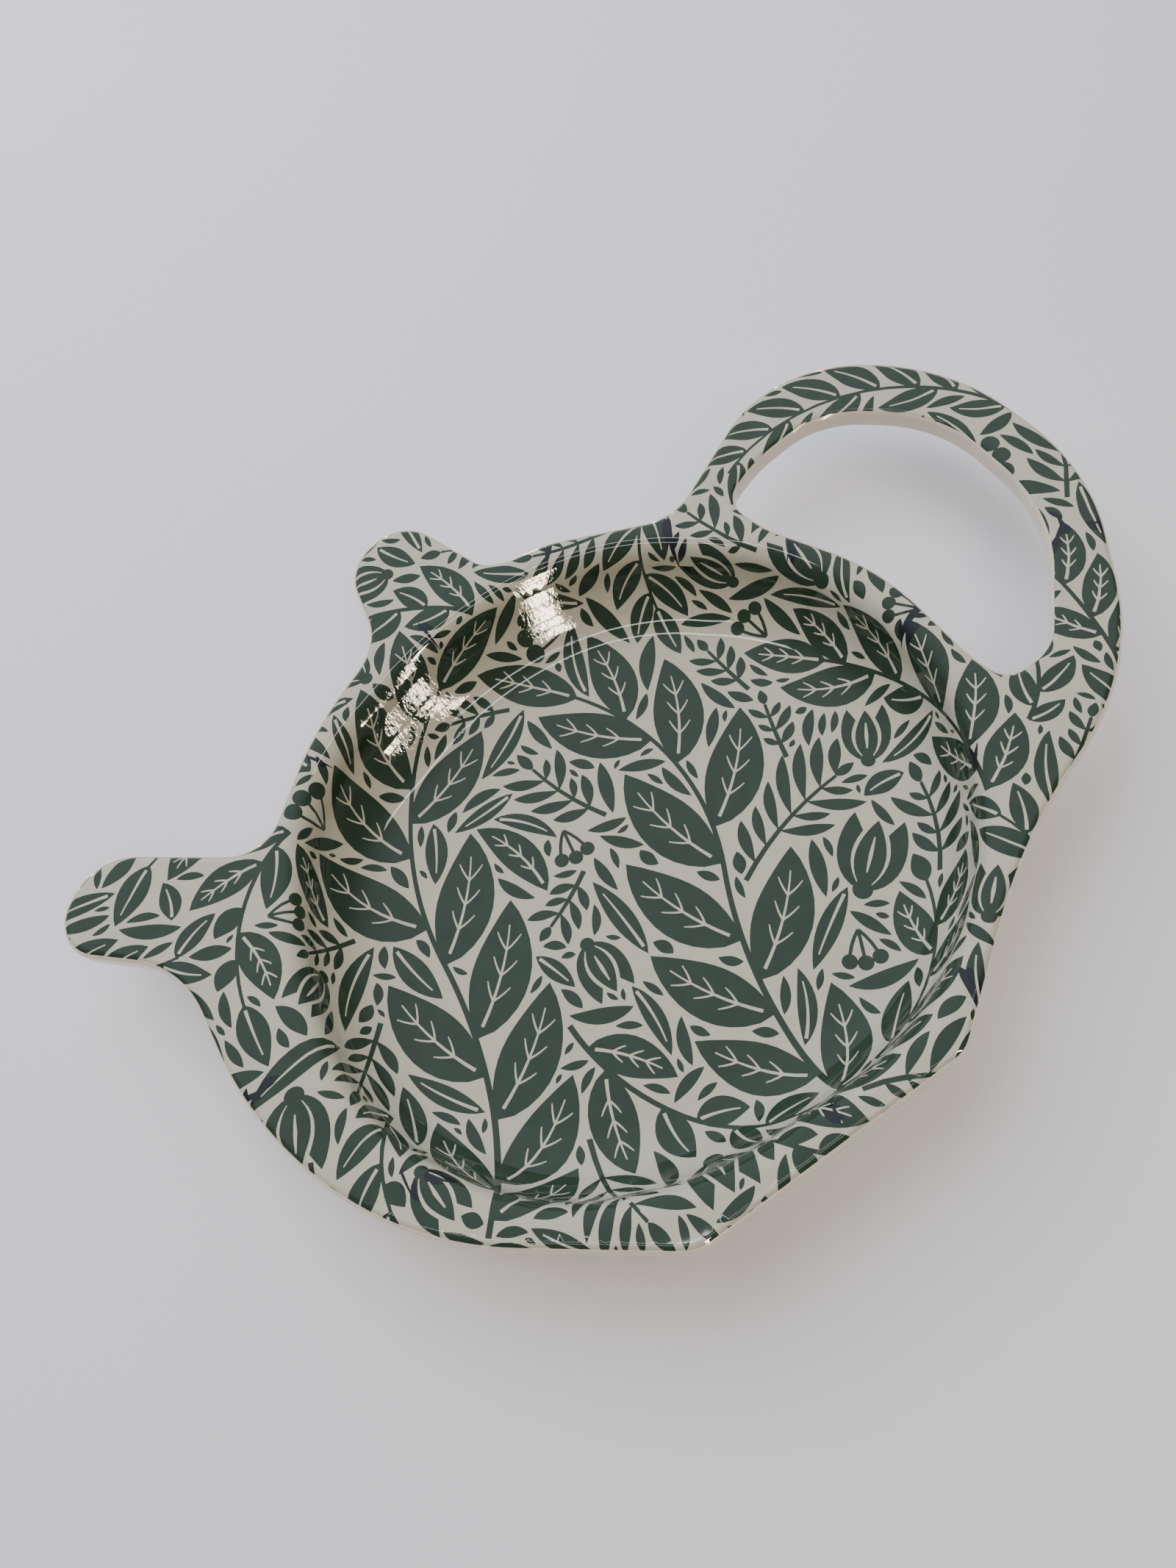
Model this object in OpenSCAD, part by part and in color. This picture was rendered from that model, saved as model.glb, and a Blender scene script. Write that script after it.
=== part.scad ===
// Tea bag rest in the shape of a teapot seen from the side, lying flat.
// One thick moulding carries a printed sheet on its face, and a clear coat lies over the print.
// Millimetres. The foot stands on z = 0, +X points to the handle and +Y to the lid knob.

/* [Body] */
// Width of the round body, from the spout side to the handle side
body_w = 115; // [95:0.5:140]
// Height of the body, from its flat base edge to its crown
body_h = 98.2; // [82:0.1:120]
// Length of the flat base edge between its two corners
base_w = 39.5; // [28:0.5:50]
// Thickness of the flat rim, spout, knob and handle
rim_t = 3.5; // [2.8:0.1:4.5]
// Radius that rounds the upper edge of the rim and of the finger hole
edge_r = 1.2; // [0.8:0.1:1.4]
// Radius that rounds their lower edge
low_edge_r = 0.8; // [0.5:0.1:1.2]

/* [Well] */
// Flat rim left between the body's edge and the well
rim_w = 2.5; // [2:0.1:5]
// Depth of the well below the rim
well_depth = 12.5; // [11:0.1:18]
// Radius where the rim rolls over into the wall
roll_r = 3.6; // [3.4:0.1:5]
// Radius where the wall runs out into the floor
fillet_r = 10; // [6:0.1:11]
// Steepest slope of the wall, from level
wall_angle = 78; // [60:1:84]
// Thickness of the wall and the floor, print and coat included
wall_t = 2.9; // [2.2:0.1:3.2]

/* [Foot] */
// Height of the ring that the dish stands on
foot_h = 0.8; // [0.5:0.1:2]
// Width of that ring
foot_w = 2.2; // [1.5:0.1:4]
// How far the ring lies inside the edge of the floor
foot_in = 1.5; // [0.5:0.1:5]

/* [Spout] */
// How far the spout's tip stands out past the side of the body
spout_out = 11.5; // [8:0.5:18]
// Height of the spout above the middle of the body
spout_top = 42; // [38:0.5:46]

/* [Lid knob] */
// Width of the knob at its waist
knob_w = 16.5; // [13:0.5:21]
// How far the knob stands out past the crown of the body
knob_out = 17.5; // [12:0.5:24]
// Middle of the knob, measured from the middle of the body
knob_x = 0.9; // [-2:0.1:3]

/* [Handle] */
// How far the handle stands out past the side of the body
handle_out = 33.5; // [28:0.5:40]
// Height of the handle's top above the middle of the body
handle_top = 49.7; // [45:0.1:55]
// Depth of the handle's lower bend below the middle of the body
handle_low = 23.2; // [21:0.1:28]
// Width of the band round the finger hole
band_w = 9.5; // [7.5:0.1:11]

/* [Print and coat] */
// Thickness of the printed sheet
foil_t = 0.15; // [0.1:0.01:0.2]
// Thickness of the clear coat over it
glaze_t = 0.12; // [0.08:0.01:0.2]
// How far round the upper edge the sheet and the coat reach, in degrees from the flat
foil_wrap = 45; // [30:5:60]

/* [Hidden] */
// Largest gap between an outline's arc and its facets
facet_gap = 0.19;
// Steps round the two curves of the well's section and along each arc of an edge
roll_steps = 3;
fillet_steps = 5;
edge_steps = 2;
// Cuts run past the faces that they open by this much
overrun = 0.5;
// Bevel on the foot ring, as a share of its height
foot_bevel_share = 0.3;

half_w = body_w / 2;
half_h = body_h / 2;
mouth_w = half_w - rim_w;
mouth_h = half_h - rim_w;
hole_out = handle_out - band_w;
hole_top = handle_top - band_w;
hole_low = handle_low - band_w;

// Levels, measured up from the table
rim_z = foot_h + wall_t + well_depth;
coat_t = foil_t + glaze_t;

// The well's section: the rim rolls over, drops at wall_angle and runs out into the floor
curves_drop = (roll_r + fillet_r) * (1 - cos(wall_angle));
straight_l = (well_depth - curves_drop) / sin(wall_angle);
floor_in = (roll_r + fillet_r) * sin(wall_angle) + straight_l * cos(wall_angle);

// Every outline is a list of corners, [x, y, rounding share], taken counterclockwise.
// The rounding share is how much of its shorter side each corner's arc takes, and 0.5 joins two arcs.
function by_body(share) = [share.x * half_w, share.y * half_h, share[2]];
function by_mouth(share) = [share.x * mouth_w, share.y * mouth_h, share[2]];
function by_handle(share) = [half_w + share.x * handle_out, share.y * handle_top, share[2]];
function by_spout(share) = [-half_w - share.x * spout_out, share.y * spout_top, share[2]];
function by_knob(share) = [knob_x + share.x * knob_w, half_h + share.y * knob_out, share[2]];

base_round_share = 0.06;
low_left_shares = [-0.826, -0.597, 0.5];
left_shares = [-1.008, -0.115, 0.5];
spout_root_shares = [-0.984, 0.418, 0.36];
spout_notch_shares = [-0.686, 0.577, 0.28];
shoulder_shares = [-0.428, 0.849, 0.46];
crown_right_shares = [0.379, 0.971, 0.2];
handle_notch_shares = [0.684, 0.791, 0.24];
handle_root_shares = [0.76, -0.664, 0.43];
spout_tip_shares = [[0.26, 1.061, 0.46], [1.275, 0.83, 0.49]];
knob_shares = [[0.663, 0.04, 0.3], [0.316, 1.04, 0.46], [-0.42, 0.94, 0.5], [-0.604, 0, 0.31]];
handle_bend_shares = [0.44, 0.5];
handle_loop_shares = [[1.022, 0.12, 0.42], [0.974, 0.725, 0.5], [0.334, 1.078, 0.5]];

silhouette = concat(
    [[base_w / 2, -half_h, base_round_share]],
    [by_body(handle_root_shares)],
    [[half_w + handle_bend_shares[0] * handle_out, -handle_low, handle_bend_shares[1]]],
    [for (share = handle_loop_shares) by_handle(share)],
    [by_body(handle_notch_shares), by_body(crown_right_shares)],
    [for (share = knob_shares) by_knob(share)],
    [by_body(shoulder_shares), by_body(spout_notch_shares)],
    [for (share = spout_tip_shares) by_spout(share)],
    [by_body(spout_root_shares), by_body(left_shares), by_body(low_left_shares)],
    [[-base_w / 2, -half_h, base_round_share]]
);

// The finger hole: its left side follows the body, and the rest keeps band_w of the handle
hole_low_shares = [[0.02, 0.45], [0.34, 0.46]];
hole_right_shares = [[1.012, 0.085, 0.45], [1.03, 0.687, 0.48], [0.486, 1.006, 0.49]];
hole_roof_shares = [0.968, 0.972, 0.46];
hole_body_shares = [[0.83, 0.727, 0.43], [0.846, 0.575, 0.46], [0.991, 0.233, 0.46], [0.988, -0.169, 0.4]];

finger_hole = concat(
    [for (share = hole_low_shares) [half_w + share[0] * hole_out, -hole_low, share[1]]],
    [for (share = hole_right_shares) [half_w + share.x * hole_out, share.y * hole_top, share[2]]],
    [[hole_roof_shares.x * half_w, hole_roof_shares.y * hole_top, hole_roof_shares[2]]],
    [for (share = hole_body_shares) by_body(share)]
);

// The well's mouth: it keeps rim_w of the body, but leaves a wider rim beside the spout
mouth_shares = [
    [0.317, -1.015, 0.41], [0.762, -0.733, 0.5], [1.037, -0.169, 0.48], [0.942, 0.501, 0.44],
    [0.541, 0.949, 0.47], [0.035, 1.045, 0.5], [-0.574, 0.796, 0.49], [-0.834, 0.287, 0.43],
    [-0.9, -0.32, 0.48], [-0.62, -0.81, 0.47], [-0.246, -0.995, 0.44]
];
mouth = [for (share = mouth_shares) by_mouth(share)];

function flat(p) = [p.x, p.y];
function unit(v) = v / norm(v);
function left_of(v) = [-v.y, v.x];
function turned(v, angle) = [v.x * cos(angle) - v.y * sin(angle), v.x * sin(angle) + v.y * cos(angle)];

// One corner as an arc, after every side has moved inward by inset. The arc keeps its centre and the number
// of its facets, so the points of two outlines always pair up.
function corner_arc(before, corner, after, inset) =
    let (
        arrive = unit(flat(corner) - flat(before)),
        leave = unit(flat(after) - flat(corner)),
        turn = atan2(cross(arrive, leave), arrive * leave),
        side = turn < 0 ? -1 : 1,
        shorter = min(norm(flat(corner) - flat(before)), norm(flat(after) - flat(corner))),
        radius = corner[2] * shorter / tan(abs(turn) / 2),
        middle = (left_of(arrive) + left_of(leave)) / (1 + arrive * leave),
        centre = flat(corner) + side * radius * middle,
        spoke = -side * (radius - side * inset) * left_of(arrive),
        steps = ceil(abs(turn) / 2 / acos(1 - facet_gap / radius))
    )
    [for (i = [0:steps]) centre + turned(spoke, turn * i / steps)];

// All the points of an outline whose sides have moved inward by inset
function outline(corners, inset) =
    let (n = len(corners))
    [for (i = [0:n - 1]) each corner_arc(corners[(i + n - 1) % n], corners[i], corners[(i + 1) % n], inset)];

function at_height(points, z) = [for (p = points) [p.x, p.y, z]];

// Side walls between rings of n points, as two triangles a cell, and past the last ring to the first if joined
function cells(rings, n, joined) =
    [for (k = [0:rings - (joined ? 1 : 2)], i = [0:n - 1])
        let (low = k * n, high = ((k + 1) % rings) * n, j = (i + 1) % n)
        each [[low + i, high + j, low + j], [low + i, high + i, high + j]]];

// A solid through a stack of rings, each given as [inset, z], the lowest first
module stacked(corners, section) {
    rings = [for (s = section) at_height(outline(corners, s[0]), s[1])];
    n = len(rings[0]);
    top = (len(section) - 1) * n;
    ends = [[for (i = [0:n - 1]) i], [for (i = [n - 1:-1:0]) top + i]];
    polyhedron(points = [for (ring = rings) each ring], faces = concat(cells(len(section), n, false), ends));
}

// A closed section, its [inset, z] points taken clockwise, run all the way round an outline
module run_round(corners, section) {
    rings = [for (s = section) at_height(outline(corners, s[0]), s[1])];
    n = len(rings[0]);
    polyhedron(points = [for (ring = rings) each ring], faces = cells(len(section), n, true));
}

// The flat face with its finger hole, standing back from every edge by border
module face_slab(border, low_z, high_z) {
    translate([0, 0, low_z])
        linear_extrude(high_z - low_z)
            difference() {
                polygon(outline(silhouette, border));
                polygon(outline(finger_hole, -border));
            }
}

// The well's surface at some depth under the finished one, from the floor up, as [inset, z]
function well_section(under) = concat(
    [for (i = [0:fillet_steps])
        let (slope = wall_angle * i / fillet_steps, radius = fillet_r + under)
        [floor_in - radius * sin(slope), rim_z - well_depth + fillet_r - radius * cos(slope)]],
    [for (i = [roll_steps:-1:0])
        let (slope = wall_angle * i / roll_steps, radius = roll_r - under)
        [radius * sin(slope), rim_z - roll_r + radius * cos(slope)]]
);

// The space over that surface, closed at top_z
module well_space(under, top_z) {
    stacked(mouth, concat(well_section(under), [[0, top_z]]));
}

// Part of an edge's rounding, between two angles from the flat, on an arc that shares the edge's centre
function edge_arc(edge_radius, arc_radius, from, to) = [
    for (i = [0:edge_steps])
        let (angle = from + (to - from) * i / edge_steps)
        [edge_radius - arc_radius * sin(angle), arc_radius * cos(angle) - edge_radius]
];

// A section run along an edge at edge_z, its [inset, rise] points clockwise. facing is 1 where the solid lies
// inside the outline and -1 round a hole, and upward is 1 for a top edge and -1 for a bottom edge.
module edge_run(corners, facing, edge_z, upward, profile) {
    last = len(profile) - 1;
    section = [for (i = [0:last])
        let (p = profile[facing == upward ? i : last - i])
        [facing * p.x, edge_z + upward * p.y]];
    run_round(corners, section);
}

// A cutter that leaves an edge with the given arcs
module edge_cutter(corners, facing, edge_z, upward, arcs) {
    start = arcs[0];
    end = arcs[len(arcs) - 1];
    around = [[-overrun, end.y], [-overrun, overrun], [start.x + overrun, overrun], [start.x + overrun, start.y]];
    edge_run(corners, facing, edge_z, upward, concat(around, arcs));
}

// A layer that follows the upper edge of the rim and of the finger hole, between two depths
module edge_layer(upper, lower) {
    over = edge_arc(edge_r, edge_r - upper, foil_wrap, 0);
    below = edge_arc(edge_r, edge_r - lower, 0, foil_wrap);
    profile = concat([[edge_r + overrun, -lower]], below, over, [[edge_r + overrun, -upper]]);
    edge_run(silhouette, 1, rim_z, 1, profile);
    edge_run(finger_hole, -1, rim_z, 1, profile);
}

// A layer over the whole face between two depths, but closed across the well
module face_layer(upper, lower) {
    face_slab(edge_r, rim_z - lower, rim_z - upper);
    edge_layer(upper, lower);
    well_space(lower, rim_z - upper);
}

// The ring under the floor, its two lower edges bevelled
module foot_ring() {
    outer = floor_in + foot_in;
    inner = outer + foot_w;
    bevel = foot_bevel_share * foot_h;
    seat_z = foot_h + wall_t / 2;
    section = [
        [outer + bevel, 0], [outer, bevel], [outer, seat_z],
        [inner, seat_z], [inner, bevel], [inner - bevel, 0]
    ];
    run_round(mouth, section);
}

// The moulding: flat rim, spout, knob and handle in one plate, and the bowl of the well hanging from it
module dish_moulding() {
    low_z = rim_z - rim_t;
    top_arcs = concat(edge_arc(edge_r, edge_r - coat_t, 0, foil_wrap), edge_arc(edge_r, edge_r, foil_wrap, 90));
    low_arcs = edge_arc(low_edge_r, low_edge_r, 0, 90);
    color("antiquewhite")
        union() {
            difference() {
                union() {
                    face_slab(0, low_z, rim_z);
                    stacked(mouth, concat(well_section(wall_t), [[0, rim_z - rim_t / 2]]));
                }
                well_space(coat_t, rim_z + overrun);
                face_slab(edge_r, rim_z - coat_t, rim_z + overrun);
                edge_cutter(silhouette, 1, rim_z, 1, top_arcs);
                edge_cutter(silhouette, 1, low_z, -1, low_arcs);
                edge_cutter(finger_hole, -1, rim_z, 1, top_arcs);
                edge_cutter(finger_hole, -1, low_z, -1, low_arcs);
            }
            foot_ring();
        }
}

// The printed sheet: it lies in the moulding's face, goes part way over the edges and down into the well
module decal_foil() {
    color("darkslategray")
        difference() {
            face_layer(glaze_t, coat_t);
            well_space(glaze_t, rim_z + overrun);
        }
}

// The clear coat over the sheet, flush with the bare edge of the moulding
module clear_glaze() {
    color("lightcyan", 0.35)
        difference() {
            face_layer(0, glaze_t);
            well_space(0, rim_z + overrun);
        }
}

dish_moulding();
decal_foil();
clear_glaze();
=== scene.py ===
# %% [markdown]
# # A tea bag rest in the shape of a teapot
#
# The real thing is one moulding of cream melamine with a printed sheet pressed into its face and
# a clear, hard coat over the print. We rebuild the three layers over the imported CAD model, which
# stays as it is and sets every size. The CAD is built from coarse facets, so each layer gets a
# finer twin here that follows the same named sizes. Lengths are in millimetres until a mesh is
# made, because that is how the part is drawn.

import math
import random

import bpy
import numpy as np
from mathutils import Matrix, Vector
from mathutils.geometry import delaunay_2d_cdt, tessellate_polygon
from mathutils.kdtree import KDTree


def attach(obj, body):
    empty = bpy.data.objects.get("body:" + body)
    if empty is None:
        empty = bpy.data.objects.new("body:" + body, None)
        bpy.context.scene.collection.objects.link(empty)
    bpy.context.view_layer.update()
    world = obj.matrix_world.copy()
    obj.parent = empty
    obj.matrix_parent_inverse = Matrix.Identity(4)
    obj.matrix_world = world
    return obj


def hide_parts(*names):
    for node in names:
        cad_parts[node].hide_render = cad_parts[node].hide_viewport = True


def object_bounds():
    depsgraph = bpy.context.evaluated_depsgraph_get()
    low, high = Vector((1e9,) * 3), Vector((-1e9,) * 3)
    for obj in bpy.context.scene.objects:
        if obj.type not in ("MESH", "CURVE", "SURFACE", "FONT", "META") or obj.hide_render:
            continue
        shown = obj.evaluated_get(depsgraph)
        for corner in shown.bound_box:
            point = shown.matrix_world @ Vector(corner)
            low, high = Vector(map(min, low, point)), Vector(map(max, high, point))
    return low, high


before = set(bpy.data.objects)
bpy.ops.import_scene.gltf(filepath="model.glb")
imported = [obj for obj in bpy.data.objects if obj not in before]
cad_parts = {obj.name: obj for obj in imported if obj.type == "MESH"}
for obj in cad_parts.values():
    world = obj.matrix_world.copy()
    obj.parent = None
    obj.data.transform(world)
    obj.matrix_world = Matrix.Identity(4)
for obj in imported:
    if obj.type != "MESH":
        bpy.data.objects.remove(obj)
cad_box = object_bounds()
MM = 0.001
print("CAD box in mm:", [[round(v / MM, 2) for v in corner] for corner in cad_box])

# %% [markdown]
# ## The camera
#
# The photo was taken with a phone held close over the spout side of the dish. Its place came from
# fitting the outline of the teapot, its handle and its rim to the picture, so the camera is given
# as a point and three directions, right, down and forward, and not as angles. Phones have a wide
# view, so the near edge looks larger than the far one, and a 36 mm lens on a 36 mm sensor gives
# that. The camera is nearer than Blender's usual clipping distance, so that is brought in too.

# %% Place the camera
RIM_Z = 16.2
CAMERA_AT = (-17.4, -64.85, 143.6 + RIM_Z)
CAMERA_RIGHT = (0.821623, -0.546949, -0.160569)
CAMERA_DOWN = (-0.555449, -0.704880, -0.441159)
CAMERA_FORWARD = (0.128110, 0.451654, -0.882948)

camera_data = bpy.data.cameras.new("camera")
camera_data.sensor_fit = "HORIZONTAL"
camera_data.sensor_width = 36
camera_data.lens = 36
camera_data.clip_start = 0.01
camera = bpy.data.objects.new("camera", camera_data)
bpy.context.scene.collection.objects.link(camera)
columns = [Vector(CAMERA_RIGHT), -Vector(CAMERA_DOWN), -Vector(CAMERA_FORWARD)]
camera.matrix_world = Matrix.Translation(Vector(CAMERA_AT) * MM) @ Matrix(columns).transposed().to_4x4()
bpy.context.scene.camera = camera
print("camera height in mm:", round(camera.location.z / MM, 1))

# %% [markdown]
# ## The outlines
#
# The part's plan is three closed outlines: the teapot's silhouette, the finger hole and the mouth
# of the well. Each is a list of corners with a rounding share, which is how much of its shorter
# side a corner's arc takes. Moving every side inward by the same inset keeps each arc's centre, so
# rings at different insets pair up point by point and can be bridged with quads.

# %% Sizes from the part
BODY_W, BODY_H, BASE_W = 115.0, 98.2, 39.5
RIM_T, EDGE_R, LOW_EDGE_R, RIM_W = 3.5, 1.2, 0.8, 2.5
WELL_DEPTH, ROLL_R, FILLET_R, WALL_ANGLE, WALL_T = 12.5, 3.6, 10.0, math.radians(78), 2.9
FOOT_H, FOOT_W, FOOT_IN, FOOT_BEVEL = 0.8, 2.2, 1.5, 0.24
SPOUT_OUT, SPOUT_TOP = 11.5, 42.0
KNOB_W, KNOB_OUT, KNOB_X = 16.5, 17.5, 0.9
HANDLE_OUT, HANDLE_TOP, HANDLE_LOW, BAND_W = 33.5, 49.7, 23.2, 9.5
FOIL_T, GLAZE_T, FOIL_WRAP = 0.15, 0.12, math.radians(45)

HALF_W, HALF_H = BODY_W / 2, BODY_H / 2
COAT_T = FOIL_T + GLAZE_T
LOW_Z = RIM_Z - RIM_T
FLOOR_Z = RIM_Z - WELL_DEPTH


def scaled(shares, x0, width, y0, height):
    """Corners given as shares of a width and a height, measured from (x0, y0)."""
    return [(x0 + x * width, y0 + y * height, rounding) for x, y, rounding in shares]


HOLE_OUT, HOLE_TOP = HANDLE_OUT - BAND_W, HANDLE_TOP - BAND_W
# counterclockwise from the right end of the flat base: body, handle, lid, knob, lid, spout, body
SILHOUETTE = (
    [(BASE_W / 2, -HALF_H, 0.06)]
    + scaled([(0.76, -0.664, 0.43)], 0, HALF_W, 0, HALF_H)
    + [(HALF_W + 0.44 * HANDLE_OUT, -HANDLE_LOW, 0.5)]
    + scaled([(1.022, 0.12, 0.42), (0.974, 0.725, 0.5), (0.334, 1.078, 0.5)],
             HALF_W, HANDLE_OUT, 0, HANDLE_TOP)
    + scaled([(0.684, 0.791, 0.24), (0.379, 0.971, 0.2)], 0, HALF_W, 0, HALF_H)
    + scaled([(0.663, 0.04, 0.3), (0.316, 1.04, 0.46), (-0.42, 0.94, 0.5), (-0.604, 0, 0.31)],
             KNOB_X, KNOB_W, HALF_H, KNOB_OUT)
    + scaled([(-0.428, 0.849, 0.46), (-0.686, 0.577, 0.28)], 0, HALF_W, 0, HALF_H)
    + scaled([(0.26, 1.061, 0.46), (1.275, 0.83, 0.49)], -HALF_W, -SPOUT_OUT, 0, SPOUT_TOP)
    + scaled([(-0.984, 0.418, 0.36), (-1.008, -0.115, 0.5), (-0.826, -0.597, 0.5)],
             0, HALF_W, 0, HALF_H)
    + [(-BASE_W / 2, -HALF_H, 0.06)]
)
FINGER_HOLE = (
    [(HALF_W + x * HOLE_OUT, BAND_W - HANDLE_LOW, r) for x, r in ((0.02, 0.45), (0.34, 0.46))]
    + scaled([(1.012, 0.085, 0.45), (1.03, 0.687, 0.48), (0.486, 1.006, 0.49)],
             HALF_W, HOLE_OUT, 0, HOLE_TOP)
    + scaled([(0.968, 0.972, 0.46)], 0, HALF_W, 0, HOLE_TOP)
    + scaled([(0.83, 0.727, 0.43), (0.846, 0.575, 0.46), (0.991, 0.233, 0.46), (0.988, -0.169, 0.4)],
             0, HALF_W, 0, HALF_H)
)
MOUTH = scaled(
    [(0.317, -1.015, 0.41), (0.762, -0.733, 0.5), (1.037, -0.169, 0.48), (0.942, 0.501, 0.44),
     (0.541, 0.949, 0.47), (0.035, 1.045, 0.5), (-0.574, 0.796, 0.49), (-0.834, 0.287, 0.43),
     (-0.9, -0.32, 0.48), (-0.62, -0.81, 0.47), (-0.246, -0.995, 0.44)],
    0, HALF_W - RIM_W, 0, HALF_H - RIM_W)
print("corners:", len(SILHOUETTE), len(FINGER_HOLE), len(MOUTH))

# %% Turn corners into points
FACET_GAP = 0.01  # how far a facet may cut inside its arc, in mm


def left_of(v):
    """v turned a quarter turn to the left."""
    return np.array((-v[1], v[0]))


def outline(corners, inset=0.0):
    """Points of an outline moved inward by inset, and the outward direction at each."""
    spots = np.array([c[:2] for c in corners])
    points, outward = [], []
    for i, corner in enumerate(spots):
        sides = corner - spots[i - 1], spots[(i + 1) % len(spots)] - corner
        arrive, leave = (s / np.linalg.norm(s) for s in sides)
        turn = math.atan2(arrive[0] * leave[1] - arrive[1] * leave[0], arrive @ leave)
        bend = math.copysign(1, turn)
        radius = corners[i][2] * min(np.linalg.norm(s) for s in sides) / math.tan(abs(turn) / 2)
        centre = corner + bend * radius * (left_of(arrive) + left_of(leave)) / (1 + arrive @ leave)
        steps = math.ceil(abs(turn) / 2 / math.acos(1 - FACET_GAP / radius))
        for k in range(steps + 1):
            c, s = math.cos(turn * k / steps), math.sin(turn * k / steps)
            out = -(c * left_of(arrive) + s * left_of(left_of(arrive)))
            point = centre + bend * (radius - bend * inset) * out
            if not points or np.linalg.norm(point - points[-1]) > 1e-3:
                points.append(point)
                outward.append(out)
    return np.array(points), np.array(outward)


def divided(points, outward, spacing):
    """The same closed line with its long sides divided into pieces no longer than spacing."""
    new_points, new_outward = [], []
    for i, point in enumerate(points):
        j = (i + 1) % len(points)
        pieces = max(1, math.ceil(np.linalg.norm(points[j] - point) / spacing))
        for t in np.arange(pieces) / pieces:
            new_points.append(point + (points[j] - point) * t)
            direction = outward[i] + (outward[j] - outward[i]) * t
            new_outward.append(direction / np.linalg.norm(direction))
    return np.array(new_points), np.array(new_outward)


print("points of the silhouette:", len(outline(SILHOUETTE)[0]))
print("points of the mouth:", len(outline(MOUTH)[0]))

# %% [markdown]
# ## The shape of the wall
#
# From the rim the surface rolls over, drops steeply and runs out into the flat floor: an S made of
# two arcs and a short straight. One function walks along this line by its length, starting where
# the floor ends. Both the meshes and the print use it, and it also gives the slope, so every point
# gets an exact normal. With exact normals a gloss surface reflects smoothly on few faces.

# %% Walk along the wall
WALL_DROP = (ROLL_R + FILLET_R) * (1 - math.cos(WALL_ANGLE))
STRAIGHT_L = (WELL_DEPTH - WALL_DROP) / math.sin(WALL_ANGLE)
FLOOR_IN = (ROLL_R + FILLET_R) * math.sin(WALL_ANGLE) + STRAIGHT_L * math.cos(WALL_ANGLE)
FILLET_L, ROLL_L = FILLET_R * WALL_ANGLE, ROLL_R * WALL_ANGLE
WALL_L = FILLET_L + STRAIGHT_L + ROLL_L


def along_wall(way, under=0.0):
    """Inset from the mouth, height and slope at a way up from the floor, under the surface."""
    way = np.asarray(way, float)
    slope = np.clip(way / FILLET_R, 0, WALL_ANGLE)
    slope = np.minimum(slope, np.clip((WALL_L - way) / ROLL_R, 0, WALL_ANGLE))
    straight = np.clip(way - FILLET_L, 0, STRAIGHT_L)
    on_roll = way > FILLET_L + STRAIGHT_L
    on_floor = np.minimum(way, 0)
    low_inset = FLOOR_IN - FILLET_R * np.sin(slope) - straight * math.cos(WALL_ANGLE) - on_floor
    low_z = FLOOR_Z + FILLET_R * (1 - np.cos(slope)) + straight * math.sin(WALL_ANGLE)
    high_inset = ROLL_R * np.sin(slope) - np.maximum(way - WALL_L, 0)
    high_z = RIM_Z - ROLL_R * (1 - np.cos(slope))
    inset = np.where(on_roll, high_inset, low_inset) - under * np.sin(slope)
    z = np.where(on_roll, high_z, low_z) - under * np.cos(slope)
    return inset, z, slope


print("wall length in mm:", round(WALL_L, 2), "over", round(FLOOR_IN, 2), "of plan")

# %% [markdown]
# ## A shell of rings
#
# The moulding and its coat are made of the same few moves: a ring of points at an inset and a
# height, a strip between two rings, and a flat face between rings. Rings are kept by their place,
# so strips that meet share their points and the mesh closes by itself. Each strip brings its own
# normals, which gives soft arcs and crisp corners without any modifier.

# %% Shell builder
class Shell:
    """Points, faces and the normals at their corners, made from rings."""
    def __init__(self):
        self.points, self.faces, self.normals, self.rings = [], [], [], {}

    def ring(self, corners, inset, z):
        """Indices of the ring at this place. It is made on first use."""
        key = (len(corners), round(float(inset), 4), round(float(z), 4))
        if key not in self.rings:
            points = outline(corners, inset)[0]
            self.rings[key] = range(len(self.points), len(self.points) + len(points))
            self.points += [(x, y, z) for x, y in points]
        return self.rings[key]

    def loft(self, corners, profile):
        """A strip through entries of inset, height, and the normal's outward and upward part."""
        outward = outline(corners)[1]
        normals = [[(o[0] * side, o[1] * side, up) for o in outward] for _, _, side, up in profile]
        for k, (start, end) in enumerate(zip(profile, profile[1:])):
            here, there = (self.ring(corners, entry[0], entry[1]) for entry in (start, end))
            inward, rise = end[0] - start[0], end[1] - start[1]
            faces_out = rise * (start[2] + end[2]) + inward * (start[3] + end[3]) > 0
            for i in range(len(here)):
                j = (i + 1) % len(here)
                loop = [(here[i], normals[k][i]), (here[j], normals[k][j]),
                        (there[j], normals[k + 1][j]), (there[i], normals[k + 1][i])]
                self.add(loop if faces_out else loop[::-1])

    def flat(self, rings, z, up):
        """A flat face between rings, given as (corners, inset), that looks up or down."""
        loops = [self.ring(corners, inset, z) for corners, inset in rings]
        indices = [i for loop in loops for i in loop]
        places = [[Vector(self.points[i]) for i in loop] for loop in loops]
        for triangle in tessellate_polygon(places):
            a, b, c = (Vector(self.points[indices[k]]) for k in triangle)
            face = [(indices[k], (0, 0, up)) for k in triangle]
            self.add(face if (b - a).cross(c - a).z * up > 0 else face[::-1])

    def add(self, face):
        """Adds a face, given as (point, normal) for each of its corners."""
        self.faces.append([index for index, _ in face])
        self.normals += [normal for _, normal in face]


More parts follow.
